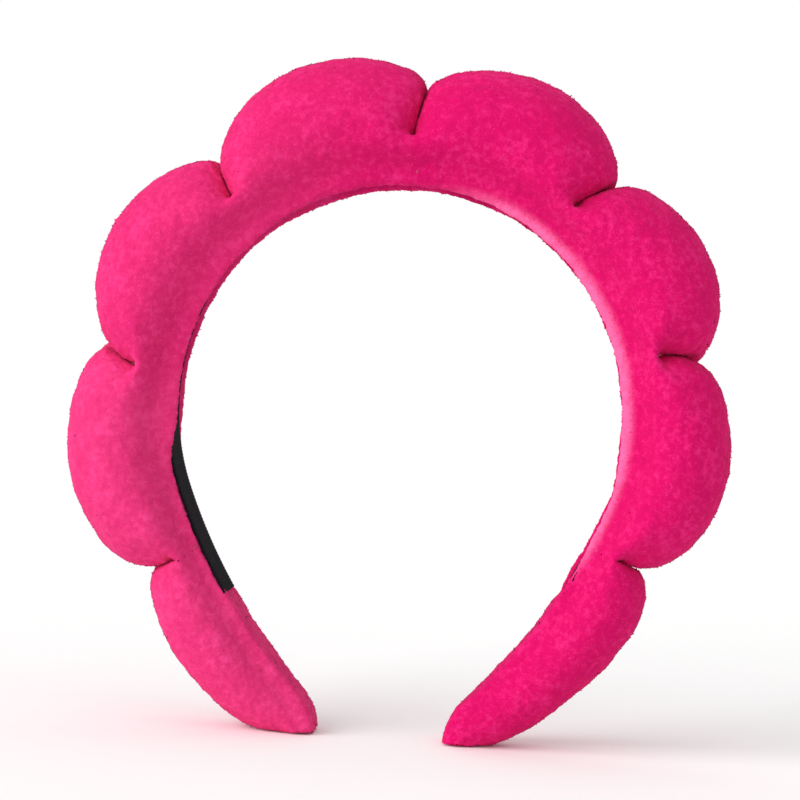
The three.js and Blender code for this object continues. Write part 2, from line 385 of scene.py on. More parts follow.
def mesh_piece(name, points, faces):
    """A new mesh object at the origin, smooth shaded."""
    mesh = bpy.data.meshes.new(name)
    mesh.from_pydata(points.tolist(), [], faces)
    mesh.update()
    mesh.shade_smooth()
    piece = bpy.data.objects.new(name, mesh)
    bpy.context.scene.collection.objects.link(piece)
    return piece


def make_active(piece):
    bpy.ops.object.select_all(action="DESELECT")
    piece.select_set(True)
    bpy.context.view_layer.objects.active = piece


def apply_modifiers(piece):
    make_active(piece)
    for modifier in list(piece.modifiers):
        bpy.ops.object.modifier_apply(modifier=modifier.name)


def grid_faces(rows, columns, flip=False, joined=False):
    """Quads of a tube of rows, each row a closed ring. A joined tube's last row meets its first."""
    i, j = np.meshgrid(np.arange(rows if joined else rows - 1), np.arange(columns), indexing="ij")
    k, n = (j + 1) % columns, (i + 1) % rows
    quads = np.stack([i * columns + j, i * columns + k, n * columns + k, n * columns + j], -1)
    quads = quads.reshape(-1, 4)
    return quads[:, ::-1] if flip else quads


def end_faces(rows, columns, flip=False):
    """One face across each end of such a tube."""
    last = (rows - 1) * columns
    ends = [list(range(columns)), list(range(last + columns - 1, last - 1, -1))]
    return [end[::-1] for end in ends] if flip else ends


def points_of(piece):
    points = np.empty(len(piece.data.vertices) * 3)
    piece.data.vertices.foreach_get("co", points)
    return points.reshape(-1, 3)


def put_values(piece, name, values):
    """Stores one number for each vertex."""
    stored = piece.data.attributes.get(name) or piece.data.attributes.new(name, "FLOAT", "POINT")
    stored.data.foreach_set("value", np.asarray(values, np.float32).ravel())


def values_of(piece, name):
    values = np.empty(len(piece.data.vertices), np.float32)
    piece.data.attributes[name].data.foreach_get("value", values)
    return values


def add_group(piece, name, weights):
    """Adds a vertex group with one weight for each vertex."""
    group = piece.vertex_groups.new(name=name)
    for index, weight in enumerate(weights):
        if weight > 0:
            group.add([index], float(weight), "REPLACE")


def subdivide(piece, levels):
    modifier = piece.modifiers.new("Subdivision", "SUBSURF")
    modifier.levels = modifier.render_levels = levels


def displace(piece, name, kind, scale, strength, group=""):
    """Adds relief from a procedural texture of one size."""
    texture = bpy.data.textures.new(name, kind)
    texture.noise_scale = scale
    modifier = piece.modifiers.new(name, "DISPLACE")
    modifier.texture = texture
    modifier.texture_coords = "LOCAL"
    modifier.strength = strength
    modifier.vertex_group = group


# The shape of a puff


class Puff:
    """One puff of the cover: rings of points round the hoop, from the crown side to the far side."""

    def __init__(self, band, part, side, pinches):
        self.band, self.part, self.side, self.sign = band, part, side, SIGN[side]
        index = PARTS.index(part)
        self.near = pinches[side][index]
        self.ends_at_tip = part == "end"
        self.far = band.tip if self.ends_at_tip else pinches[side][index + 1]
        self.ribbon_end = pinches[side][-1] + sizes().ribbon_past_pinch
        self.swell_reach = END_PUFFS[side][1] * MM

    def rows(self):
        """For each ring: its even share of the way along, its distance from the crown, how far down
        in a crease it is, and how full the puff is there."""
        if self.ends_at_tip:
            return self.end_rows()
        near_fall, far_fall = FULL_PUFFS[self.part, self.side][2:]
        turn = np.linspace(0, math.pi, DOME_ROWS)
        u = -np.cos(turn)
        full = power(1 - u * u, np.where(u < 0, near_fall, far_fall))
        distance = mix(self.near + CREASE_GAP, self.far - CREASE_GAP, (u + 1) / 2)
        deep = np.linspace(1, 1 / WALL_ROWS, WALL_ROWS)
        shut = np.zeros(WALL_ROWS)
        deep = np.concatenate([deep, np.zeros(DOME_ROWS), deep[::-1]])
        distance = np.concatenate([shut + distance[0], distance, shut + distance[-1]])
        even = mix(self.near, self.far, np.linspace(0, 1, len(deep)))
        return even, distance, deep, np.concatenate([shut, full, shut])

    def end_rows(self):
        reach = self.far - self.near
        share = np.linspace(0, 1, TIP_ROWS)
        # Rings stand closer together at the crease and at the toe.
        share = mix(share, 0.5 - 0.5 * np.cos(math.pi * share), 0.65)
        distance = self.near + mix(CREASE_GAP, reach, share)
        deep = np.linspace(1, 1 / WALL_ROWS, WALL_ROWS)
        shut = np.zeros(WALL_ROWS)
        swell = power(1 - (1 - np.clip((distance - self.near) / self.swell_reach, 0, 1)) ** 2, 0.75)
        even = np.concatenate([self.near + np.linspace(0, 0.3, WALL_ROWS) * MM, distance])
        distance = np.concatenate([shut + distance[0], distance])
        deep = np.concatenate([deep, np.zeros(TIP_ROWS)])
        return even, distance, deep, np.concatenate([shut, swell])

    def stray(self, place, depth, out):
        """How far the cover is pulled along the arm at a distance from the crown."""
        amount = smooth(-3.5, 3, out / MM) * (1 - smooth(6, 21, out / MM))
        amount = amount * mix(1, -0.6, smooth(-4, 4, depth / MM))
        near = STRAYS[self.side][PARTS.index(self.part)]
        far = 0 if self.ends_at_tip else STRAYS[self.side][PARTS.index(self.part) + 1]
        share = np.clip((place - self.near) / (self.far - self.near), 0, 1)
        return mix(near, far, share) * amount * MM

    def roll(self, distance, at_back):
        """How far the terry's rolled edge stands proud of the ribbon's face, in millimetres, and how
        far past the ribbon's end the place is."""
        d = distance / MM
        bottom = -0.7 if self.side == "left" else 0.9
        beside_head = smooth(25, 50, d) * (self.side == "left")
        top = 2.1 + beside_head * (-1.0 if at_back else 0.8)
        stands = mix(top, bottom, smooth(99, 116, d))
        closed = smooth(self.ribbon_end / MM - 2, self.ribbon_end / MM + 3, d)
        return mix(stands, 0.2, closed), closed

    def inner_half(self, distance, at_back):
        """The half section from the middle of the base to the ridge, as (depth, out) columns, with the
        ridge's depth and how far the section is tucked up at the tip."""
        ridge = self.band.half_width(distance) / MM + 1.2
        roll, closed = self.roll(distance, at_back)
        tuck = TIP_TUCK * power(1 - (self.band.tip - distance) / TIP_TUCK_REACH, 2)
        edge = np.minimum(8.9, ridge - 2.2)
        # Under the ribbon the cover lies flat on the hoop; past the ribbon's end it is one plump face.
        flat = mix(-2.2, -3.3, closed)
        columns = [
            (np.zeros_like(ridge), flat),
            (edge * 0.33, flat),
            (edge * 0.64, flat),
            (edge * 0.93, flat - 0.1 * closed),
            (edge, mix(-2.8 - 0.6 * roll, -3.25, closed)),
            (mix(edge, ridge, 0.42), -3.1 - roll * (1 - closed)),
            (mix(edge, ridge, 0.78), -2.4 - 0.66 * roll),
            (ridge, np.full_like(ridge, -0.1)),
        ]
        return [(depth, out + tuck) for depth, out in columns], ridge, tuck

    def dome_size(self, place, full, held):
        """The dome's height and half depth at each place, where held says how far the tie cinches it."""
        index = PARTS.index(self.part)
        share = np.clip((place - self.near) / (self.far - self.near), 0, 1)
        crease, cinched, open_half = CREASES[index]
        if self.ends_at_tip:
            peak, peak_at, slope, toe, late = END_PUFFS[self.side]
            d = (place - self.near) / MM
            reach = (self.far - self.near) / MM
            past = np.clip((d - peak_at) / (reach - peak_at), 0, 1)
            valley = smooth(0, 12, d)
            full = mix(valley, full, held)
            height = mix(crease, peak, full) - slope * past**1.3 - toe * past**late
            half = mix(mix(open_half, cinched, held), END_HALF_DEPTH, full)
            return height, mix(half, TIP_HALF_DEPTH, past**1.4)
        peak, depth = FULL_PUFFS[self.part, self.side][:2]
        # Low on the band's sides no tie holds the cover, so it only dips between two puffs.
        valley = smooth(0, 0.42, 1 - np.abs(2 * share - 1))
        open_full = mix(valley, np.minimum(full, 1 - (2 * share - 1) ** 2), held)
        full = mix(valley, full, held)
        far_crease, far_cinched, far_open = CREASES[index + 1]
        crease = mix(crease, far_crease, share)
        crease_half = mix(mix(open_half, far_open, share), mix(cinched, far_cinched, share), held)
        return mix(crease, peak, full), mix(crease_half, depth, open_full)

    def grid(self):
        """Points, and for each how free it is of the hoop, its share of nap and of relief, and its share
        of painted light: a painted highlight round the turned edge and painted light over the left arm."""
        even, distance, deep, full = self.rows()
        back, ridge, tuck = self.inner_half(even, True)
        front = self.inner_half(even, False)[0]
        turn = np.linspace(0, math.pi, DOME_COLUMNS)[1:-1]
        rise, lean = np.sin(turn)[None], np.cos(turn)[None]
        held = smooth(0.22, 0.66, rise)
        place = mix(even[:, None], distance[:, None], held)
        height, half = self.dome_size(place, full[:, None], held)
        down = deep[:, None] * held
        height = mix(height, CREASE_FLOOR, down)
        half = mix(half, ridge[:, None] + 0.4, down)
        wide = np.maximum(half, ridge[:, None] + 0.3)
        under = 1 - (1 - ridge[:, None] / wide) * (1 - rise) ** 9
        depth = wide * np.sign(lean) * power(np.abs(lean), SECTION_POWER) * under
        base = tuck[:, None]
        out = base + (height - base) * power(rise, SECTION_POWER)

        half_depth = np.stack([d for d, _ in back], -1)
        back_out, front_out = (np.stack([o for _, o in strip], -1) for strip in (back, front))
        strip_place = np.repeat(even[:, None], half_depth.shape[1], 1)
        # Round the ring: from the middle of the base, up the back, over the dome and down the front.
        depths = np.concatenate([half_depth, depth, -half_depth[:, :0:-1]], 1) * MM
        outs = np.concatenate([back_out, out, front_out[:, :0:-1]], 1) * MM
        places = np.concatenate([strip_place, place, strip_place[:, :0:-1]], 1)
        places = places + self.stray(places, depths, outs)
        if self.ends_at_tip:
            places = self.stop_at_floor(places, outs)
        points = self.band.place(self.sign * places, depths, outs)
        return points, *self.shares(even, deep, held, front_out, points.shape[1])

    def shares(self, even, deep, held, front_out, columns):
        """For each point how free it is of the hoop, its share of nap and of relief, and its share of
        painted light: a painted highlight round the turned edge and painted light over the left arm."""
        inner = front_out.shape[1]
        dome = slice(inner, columns - inner + 1)
        side = np.zeros((len(even), columns))
        side[:, dome] = held
        walled = 1.5 * deep[:, None] * side
        ends = np.minimum(even - self.near, self.far - even)[:, None] / MM
        loose = np.zeros_like(side)
        loose[:, dome] = 1
        loose *= np.clip(1 - walled, 0, 1) * mix(smooth(0, 5, ends), 1, side)
        nap = np.clip(1.1 - walled, 0, 1)
        under_ribbon = np.zeros(side.shape, bool)
        under_ribbon[:, :4] = under_ribbon[:, columns - 3 :] = True
        nap[under_ribbon & (even < self.ribbon_end - 1 * MM)[:, None]] = 0
        past_pinch = (even - self.near)[:, None] / MM if self.ends_at_tip else ends
        relief = mix(np.clip(past_pinch / 2, 0, 1), 1, side)
        sewn = [0] if self.ends_at_tip else [0, -1]
        loose[sewn] = relief[sewn] = 0
        # Where the cover is turned over the hoop's edge: how far round the turn, in millimetres.
        turned = np.zeros_like(side)
        turned[:, dome.stop :] = -front_out[:, :0:-1]
        # Painted light: the turn is scaled by a painted highlight on the turned edge, and the left arm
        # takes painted light all over.
        turned = np.maximum(turned * self.painted_edge_highlight(even)[:, None], self.painted_left_arm_light(even)[:, None])
        return loose, nap, relief, turned

    def painted_edge_highlight(self, distance):
        """How much painted highlight the turned edge takes, where it faces the key light: most on the
        right arm, down to the last pinch.
        """
        d = distance / MM
        if self.side == "left":
            return 0.25 * (1 - smooth(15, 45, d))
        return mix(0.25, 1, smooth(0, 40, d)) * (1 - smooth(125, 150, d))

    def painted_left_arm_light(self, distance):
        """Painted light on the left arm, which faces the key light: its nap is painted a little paler all
        over, more so beside the head.
        """
        d = distance / MM
        if self.side == "right":
            return np.zeros_like(d)
        return mix(1.15, 1.7, smooth(0, 40, d)) + 0.25 * smooth(80, 100, d)

    def stop_at_floor(self, places, outs):
        """Squeezes each column of rings so that its last point stands on the floor."""
        finish = np.full(places.shape[1], self.band.tip)
        for _ in range(12):
            points = self.band.place(self.sign * finish, 0, outs[-1])
            heading = self.band.walk(finish)[2]
            finish = finish + (points[:, 2] - TOE_LIFT) / np.sin(heading)
        reach = self.far - self.near
        share = (places - self.near) / reach
        return places + (finish - self.far)[None] * np.clip(share, 0, 1) ** 1.5


def cap_tip(points, columns, flip):
    """Closes a tube's last ring with a smaller ring and a fan."""
    last = len(points) - columns
    ring = points[last:]
    middle = ring.mean(0)
    points = np.concatenate([points, mix(middle, ring, 0.72), middle[None]])
    tip = len(points) - 1
    fan = [[tip - columns + j, tip - columns + (j + 1) % columns, tip] for j in range(columns)]
    faces = (grid_faces(2, columns, flip) + last).tolist()
    return points, faces + [face[::-1] if flip else face for face in fan]


def settle(points, faces, loose):
    """Lets the cover's cloth settle over its stuffing, and returns where its points come to rest.
    loose says how free of the hoop and the ties each point is."""
    scene = bpy.context.scene
    piece = mesh_piece("settling", points * CLOTH_SCALE, faces)
    add_group(piece, "held", 1 - loose)
    cloth = piece.modifiers.new("Cloth", "CLOTH")
    settings = cloth.settings
    settings.quality = 6
    settings.mass = 0.3
    settings.tension_stiffness = settings.compression_stiffness = 5
    settings.shear_stiffness = 2
    settings.bending_stiffness = 0.2
    settings.use_pressure = True
    settings.uniform_pressure_force = 40
    settings.vertex_group_mass = "held"
    settings.effector_weights.gravity = 0
    cloth.collision_settings.use_collision = False
    for step in range(CLOTH_FRAMES):
        scene.frame_set(step + 1)
    done = piece.evaluated_get(bpy.context.evaluated_depsgraph_get())
    rest = np.array([v.co for v in done.data.vertices]) / CLOTH_SCALE
    bpy.data.objects.remove(piece)
    scene.frame_set(1)
    return rest


def hold_between(points, puff):
    """Keeps points on the puff's own side of its creases, where those are deep, and off the floor."""
    ends = [(puff.near, 1)] if puff.ends_at_tip else [(puff.near, 1), (puff.far, -1)]
    for distance, way in ends:
        station = puff.sign * distance
        along, out = puff.band.beside_pinch(station, points)
        past = (along * puff.sign - puff.stray(distance, points[:, 1], out)) * way - CREASE_CLEARANCE
        past *= smooth(5, 8, out / MM)
        down_arm = puff.band.along(station) * puff.sign
        points = points - (np.minimum(past, 0) * way)[:, None] * down_arm
    points[:, 2] = np.maximum(points[:, 2], COVER_LIFT)
    return points


def cover_puff(puff):
    """One puff of the terry cover."""
    points, loose, nap, relief, turned = puff.grid()
    rows, columns = loose.shape
    flat = points.reshape(-1, 3)
    flip = puff.sign < 0
    faces = grid_faces(rows, columns, flip).tolist()
    flat = hold_between(settle(flat, faces, loose.ravel()), puff)
    if puff.ends_at_tip:
        flat, cap = cap_tip(flat, columns, flip)
        faces += cap
    piece = mesh_piece(f"terry_{puff.part}_{puff.side}", flat, faces)
    spare = len(flat) - nap.size
    put_values(piece, "nap", np.concatenate([nap.ravel(), np.full(spare, 0.3)]))
    # The pale values are the share of painted highlight and painted light, stored on the cover.
    put_values(piece, "pale", np.concatenate([turned.ravel(), np.zeros(spare)]))
    add_group(piece, "relief", relief.ravel())
    subdivide(piece, 2)
    for name, kind, scale, strength in RELIEFS:
        displace(piece, name, kind, scale, strength, "relief")
    apply_modifiers(piece)
    points = hold_between(points_of(piece), puff)
    piece.data.vertices.foreach_set("co", points.ravel())
    piece.data.update()
    put_values(piece, "pale", smooth(0.9, 4.2, values_of(piece, "pale")))
    return piece


def nap_on(cover, puff, count, reach, rng):
    """Tufts of nap over a cover, each a slim closed spike that leans with its neighbours."""
    mesh = cover.data
    mesh.calc_loop_triangles()
    corners = np.empty(len(mesh.loop_triangles) * 3, np.int64)
    mesh.loop_triangles.foreach_get("vertices", corners)
    corners = corners.reshape(-1, 3)
    points = points_of(cover)
    normals = np.empty(len(points) * 3)
    mesh.vertices.foreach_get("normal", normals)
    normals = normals.reshape(-1, 3)
    nap = values_of(cover, "nap")
    p = points[corners]
    area = np.linalg.norm(np.cross(p[:, 1] - p[:, 0], p[:, 2] - p[:, 0]), axis=1)
    weight = area * np.clip(nap[corners].min(1), 0, 1)
    pick = rng.choice(len(corners), count, p=weight / weight.sum())
    share = rng.dirichlet((1, 1, 1), count)
    root = (p[pick] * share[:, :, None]).sum(1)
    up = (normals[corners[pick]] * share[:, :, None]).sum(1)
    up /= np.linalg.norm(up, axis=1, keepdims=True)

    # Each patch of nap is brushed its own way.
    wave = root[:, None] * (2 * math.pi / (np.array(PATCHES) * MM))[None, :, None]
    phase = np.array([[0.3, 1.7, 4.1], [2.2, 5.0, 0.9], [3.3, 0.4, 2.6]])
    brushed = np.sin(wave + phase[None]).sum(1) + np.sin(wave[:, ::-1, ::-1] * 0.7 + phase.T[None]).sum(1)
    brushed *= PATCH_LEAN
    lean = brushed + rng.normal(0, TUFT_SPREAD, (count, 3)) + np.array([0, 0, -TUFT_DROOP])
    lean -= (lean * up).sum(1, keepdims=True) * up
    way = TUFT_LIFT * up + lean
    way /= np.linalg.norm(way, axis=1, keepdims=True)
    tall = reach * rng.uniform(0.6, 1.25, count)[:, None]
    # Each tuft is a slim blade with its flatter side out.
    ridge = up - (up * way).sum(1, keepdims=True) * way + rng.normal(0, 0.05, (count, 3))
    ridge /= np.linalg.norm(ridge, axis=1, keepdims=True)
    side = np.cross(way, ridge)
    wide = TUFT_HALF_WIDTH * rng.uniform(0.7, 1.3, count)[:, None]
    foot = root - up * TUFT_DEPTH
    ring = [foot + side * wide, foot + ridge * wide * 0.2, foot - side * wide]
    spike = np.stack([*ring, root + way * tall], 1).reshape(-1, 3)
    spike[:, 2] = np.maximum(spike[:, 2], NAP_LIFT)
    first = np.arange(count)[:, None] * 4
    shape = np.array([[0, 3, 1], [1, 3, 2], [2, 3, 0], [0, 1, 2]])
    faces = (first[:, None] + shape[None]).reshape(-1, 3).tolist()

    piece = mesh_piece(f"nap_{puff.part}_{puff.side}", spike, faces)
    tone = rng.normal(0, TONE_SPREAD, count)[:, None] + np.array([[FOOT_TONE] * 3 + [POINT_TONE]])
    put_values(piece, "tone", tone)
    # Each tuft takes the painted light of the cover under it.
    put_values(piece, "pale", np.repeat(values_of(cover, "pale")[corners[pick, 0]], 4))
    # A tuft takes the light as the cover under it does.
    piece.data.normals_split_custom_set_from_vertices(np.repeat(up, 4, 0).tolist())
    # Real nap lets light through, so it puts no shade on itself.
    piece.visible_shadow = piece.visible_diffuse = False
    return piece


# Materials


def node(tree, kind, links=(), values=(), **settings):
    """Adds a node with its settings, plain values and links."""
    made = tree.nodes.new(kind)
    for key, value in settings.items():
        setattr(made, key, value)
    for key, value in dict(values).items():
        made.inputs[key].default_value = value
    for key, socket in dict(links).items():
        tree.links.new(socket, made.inputs[key])
    return made


def new_material(name, values=()):
    """A material with a Principled surface of those values, and its tree, surface and Object
    coordinates."""
    material = bpy.data.materials.new(name)
    material.use_nodes = True
    tree = material.node_tree
    tree.nodes.clear()
    surface = node(tree, "ShaderNodeBsdfPrincipled", values=values)
    node(tree, "ShaderNodeOutputMaterial", links={"Surface": surface.outputs[0]})
    place = node(tree, "ShaderNodeTexCoord").outputs["Object"]
    return material, tree, surface, place


def per_metre(millimetres):
    """The scale of a pattern whose features are that many millimetres apart."""
    return 1 / (millimetres * MM)


def noise(tree, place, size, detail=2.0):
    """Cloudy noise with features of that size in millimetres."""
    values = {"Scale": per_metre(size), "Detail": detail}
    return node(tree, "ShaderNodeTexNoise", {"Vector": place}, values).outputs["Fac"]


def tint(tree, surface, share, first, second):
    """Colours the surface from one colour to the other by a share. A colour of None is left open."""
    made = node(tree, "ShaderNodeMix", {"Factor": share}, data_type="RGBA")
    for socket, value in (("A", first), ("B", second)):
        if value is not None:
            made.inputs[socket].default_value = value
    tree.links.new(made.outputs["Result"], surface.inputs["Base Color"])
    return made


def roughen(tree, surface, height, strength):
    """Gives the surface a fine grain."""
    values = {"Strength": strength, "Distance": 0.3 * MM}
    made = node(tree, "ShaderNodeBump", {"Height": height}, values)
    tree.links.new(made.outputs[0], surface.inputs["Normal"])


def terry_surface(name, tone_from_nap):
    """Terry velour, polyester loops knitted and sheared. It drinks the light: dull, with pale nap
    tips, deep colour between tufts and a soft bloom where it turns away. A painted highlight is
    blended in where the cover stores a share of painted light."""
    look = colours()
    sheen = {"Sheen Weight": 0.16, "Sheen Roughness": 0.5, "Sheen Tint": look.terry_sheen_and_painted_highlight}
    values = {"Roughness": 0.95, "Specular IOR Level": 0.06, **sheen}
    material, tree, surface, place = new_material(name, values)
    patch, speck = noise(tree, place, 9), noise(tree, place, 1.7, 3.0)
    both = node(tree, "ShaderNodeMath", {0: patch, 2: speck}, {1: 0.55}, operation="MULTIPLY_ADD")
    if tone_from_nap:
        tone = node(tree, "ShaderNodeAttribute", attribute_name="tone")
        both = node(tree, "ShaderNodeMath", {0: both.outputs[0], 1: tone.outputs["Fac"]}, operation="ADD")
    low, high = (0.35, 1.55) if tone_from_nap else (0.3, 1.25)
    limits = {"From Min": low, "From Max": high}
    spread = node(tree, "ShaderNodeMapRange", {"Value": both.outputs[0]}, limits)
    ramp = node(tree, "ShaderNodeValToRGB", {"Fac": spread.outputs[0]})
    ramp.color_ramp.elements[0].color = look.terry_deep
    ramp.color_ramp.elements[1].color = look.terry_light
    middle = ramp.color_ramp.elements.new(0.5)
    middle.color = look.terry
    # Painted light: the stored pale share blends the terry toward a lighter pink, a painted highlight on
    # the turned edge and painted light over the left arm.
    pale = node(tree, "ShaderNodeAttribute", attribute_name="pale")
    brighter = node(tree, "ShaderNodeMath", {0: spread.outputs[0]}, {1: 0.45}, operation="ADD")
    shares = {0: pale.outputs["Fac"], 1: brighter.outputs[0]}
    painted_highlight_share = node(tree, "ShaderNodeMath", shares, operation="MULTIPLY")
    blend = tint(tree, surface, painted_highlight_share.outputs[0], None, look.terry_sheen_and_painted_highlight)
    tree.links.new(ramp.outputs["Color"], blend.inputs["A"])
    if not tone_from_nap:
        roughen(tree, surface, noise(tree, place, 0.7), 0.6)
    return material


def foam_surface():
    """Open-cell polyurethane foam, cast in blocks and cut. It looks chalky and full of pinholes."""
    material, tree, surface, place = new_material("polyurethane foam, cut", {"Roughness": 0.95})
    cells = node(tree, "ShaderNodeTexVoronoi", {"Vector": place}, {"Scale": per_metre(0.9)})
    limits = {"From Max": 0.6, "To Min": 0.62, "To Max": 1.0}
    shade = node(tree, "ShaderNodeMapRange", {"Value": cells.outputs["Distance"]}, limits)
    tint(tree, surface, shade.outputs[0], (0.35, 0.29, 0.19, 1), colours().foam)
    roughen(tree, surface, cells.outputs["Distance"], 0.5)
    return material


def hoop_surface():
    """Polypropylene, injection moulded. It has a low satin gloss with faint flow marks."""
    material, tree, surface, place = new_material("polypropylene, moulded", {"IOR": 1.49})
    flow = noise(tree, place, 6, 3.0)
    rough = node(tree, "ShaderNodeMapRange", {"Value": flow}, {"To Min": 0.36, "To Max": 0.52})
    tree.links.new(rough.outputs[0], surface.inputs["Roughness"])
    tint(tree, surface, flow, colours().hoop, linear("#34313A"))
    return material


def ribbon_surface():
    """Grosgrain ribbon, woven polyester. Its ribs catch thin grey lights on a near black ground."""
    values = {"Roughness": 0.9, "Specular IOR Level": 0.08}
    material, tree, surface, place = new_material("polyester grosgrain, woven", values)
    tint(tree, surface, noise(tree, place, 0.5), colours().ribbon, linear("#1C181F"))
    return material


def thread_surface():
    """Polyester sewing thread, twisted. It is slightly glossy, with a fibre grain."""
    material, tree, surface, place = new_material("polyester thread, twisted", {"Roughness": 0.55})
    tint(tree, surface, noise(tree, place, 0.3), colours().thread, linear("#E2417F"))
    return material


def floor_surface():
    """Matt paper sweep. It is pale and even, with hardly any tooth."""
    material, tree, surface, place = new_material("matt paper", {"Roughness": 0.9})
    tint(tree, surface, noise(tree, place, 4), colours().floor, linear("#FEFEFD"))
    return material


MATERIALS = {}


def ready(name, make):
    """The material of that key, made once."""
    if name not in MATERIALS:
        MATERIALS[name] = make()
    return MATERIALS[name]


def give(piece, material):
    piece.data.materials.clear()
    piece.data.materials.append(material)


def follow(piece, band, part, side, pinches):
    """Rides a crown piece on the crown's body. Any other piece has its place baked into its mesh;
    the reach past its pinch is worked out, but nothing bends the piece or rides it on a body.
    """
    if part == "crown":
        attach(piece, "crown")
        return
    index = PARTS.index(part)
    near = pinches[side][index]
    bend = BEND_REACH[index - 1] * MM
    start = band.place(SIGN[side] * near, 0, 0)
    end = start + band.along(SIGN[side] * near) * SIGN[side] * bend
    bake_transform(piece)


def every_puff():
    band = Band(sizes())
    pinches = pinch_distances(band)
    return [(Puff(band, part, side, pinches), pinches) for side in SIDES for part in PARTS]


# Operators


class HEADBAND_OT_terry_cover(bpy.types.Operator):
    """Make the eight puffs of the terry cover, settled over their pads"""

    bl_idname = "headband.terry_cover"
    bl_label = "Terry Cover"

    def execute(self, context):
        surface = ready("terry", lambda: terry_surface("polyester terry velour, sheared", False))
        nap = ready("nap", lambda: terry_surface("polyester terry velour, nap", True))
        size = sizes()
        for number, (puff, pinches) in enumerate(every_puff()):
            rng = np.random.default_rng(60 + number)
            cover = cover_puff(puff)
            tufts = nap_on(cover, puff, size.pile_count, size.pile_length, rng)
            give(cover, surface)
            give(tufts, nap)
            for piece in (cover, tufts):
                follow(piece, puff.band, puff.part, puff.side, pinches)
            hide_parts(f"cover_{puff.part}_{puff.side}")
        return {"FINISHED"}


def pad_piece(puff):
    """The foam pad inside a puff: a loaf on the hoop, in from the cover by the cover's thickness."""
    near = puff.near + PAD_SETBACK * MM
    far = puff.far - (PAD_TIP_SETBACK if puff.ends_at_tip else PAD_SETBACK) * MM
    share = 0.5 - 0.5 * np.cos(np.linspace(0, math.pi, PAD_ROWS))
    place = mix(near, far, share)[:, None]
    plump = power(np.sin(math.pi * share), 0.35)[:, None]
    turn = np.linspace(0, math.pi, PAD_COLUMNS)[None]
    rise, lean = np.sin(turn), np.cos(turn)
    if puff.ends_at_tip:
        full = smooth(0, puff.swell_reach, place - puff.near)
    else:
        across = np.clip((place - puff.near) / (puff.far - puff.near), 0, 1)
        full = power(1 - (2 * across - 1) ** 2, 0.8)
    height, half = puff.dome_size(place, full, np.ones_like(rise))
    top = mix(PAD_END_HEIGHT, height - PAD_INSET, plump)
    wide = mix(puff.band.half_width(place) / MM - 1, half - PAD_INSET - 1.2, plump)
    tucked = 1 - 0.3 * (1 - rise) ** 4
    depth = wide * np.sign(lean) * power(np.abs(lean), SECTION_POWER) * tucked
    out = PAD_BASE + (top - PAD_BASE) * power(rise, SECTION_POWER)
    points = puff.band.place(puff.sign * place, depth * MM, out * MM).reshape(-1, 3)
    faces = grid_faces(PAD_ROWS, PAD_COLUMNS, flip=puff.sign < 0).tolist()
    faces += end_faces(PAD_ROWS, PAD_COLUMNS, flip=puff.sign > 0)
    return mesh_piece(f"pad_{puff.part}_{puff.side}", points, faces)


class HEADBAND_OT_foam_pads(bpy.types.Operator):
    """Make the eight foam pads on the outside of the hoop"""

    bl_idname = "headband.foam_pads"
    bl_label = "Foam Pads"

    def execute(self, context):
        surface = ready("foam", foam_surface)
        for puff, pinches in every_puff():
            name = f"foam_{puff.part}_{puff.side}"
            piece = pad_piece(puff)
            subdivide(piece, 2)
            displace(piece, "foam cells", "VORONOI", 1.8 * MM, 0.25 * MM)
            apply_modifiers(piece)
            give(piece, surface)
            follow(piece, puff.band, puff.part, puff.side, pinches)
            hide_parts(name)
        return {"FINISHED"}


class HEADBAND_OT_hoop(bpy.types.Operator):
    """Give the moulded hoop its plastic"""

    bl_idname = "headband.hoop"
    bl_label = "Hoop"

    def execute(self, context):
        surface = ready("hoop", hoop_surface)
        for name, piece in frame["nodes"].items():
            if name.startswith("hoop_"):
                give(piece, surface)
        return {"FINISHED"}


def ribbon_piece(name, band, start, finish):
    """A length of grosgrain on the hoop's inner face, its ribs running across it."""
    rows = int(round((finish - start) / RIB)) * RIB_STEPS + 1
    stations = np.linspace(start, finish, rows)
    rib = 0.5 - 0.5 * np.cos(2 * math.pi * np.arange(rows) / RIB_STEPS)
    half = sizes().ribbon_width / 2
    inner = half - RIBBON_EDGE
    depths = np.array([-half, -inner, -half * 0.6, 0, half * 0.6, inner, half])
    bulge = np.array([0.4, 1, 1, 1, 1, 1, 0.4])
    face = RIBBON_FACE - RIB_HEIGHT * rib[:, None] * bulge[None]
    back = np.full_like(face, RIBBON_BACK)
    station = np.repeat(stations[:, None], len(depths), 1)
    top = band.place(station, depths[None], face)
    under = band.place(station, depths[None], back)[:, ::-1]
    ring = np.concatenate([top, under], 1)
    columns = ring.shape[1]
    faces = grid_faces(rows, columns).tolist() + end_faces(rows, columns)
    return mesh_piece(name, ring.reshape(-1, 3), faces)


class HEADBAND_OT_lining_ribbon(bpy.types.Operator):
    """Make the ribbon along the inside of the band"""

    bl_idname = "headband.lining_ribbon"
    bl_label = "Lining Ribbon"

    def execute(self, context):
        surface = ready("ribbon", ribbon_surface)
        size = sizes()
        band = Band(size)
        pinches = pinch_distances(band)
        spans = {"ribbon_crown": ("crown", "left", -pinches["left"][1], pinches["right"][1])}
        for side in SIDES:
            stops = [*pinches[side][1:], pinches[side][-1] + size.ribbon_past_pinch]
            for part, near, far in zip(PARTS[1:], stops, stops[1:]):
                ends = sorted((SIGN[side] * near, SIGN[side] * far))
                spans[f"ribbon_{part}_{side}"] = (part, side, *ends)
        for name, (part, side, start, finish) in spans.items():
            piece = ribbon_piece(f"lining_{name}", band, start, finish)
            give(piece, surface)
            follow(piece, band, part, side, pinches)
            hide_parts(name)
        return {"FINISHED"}


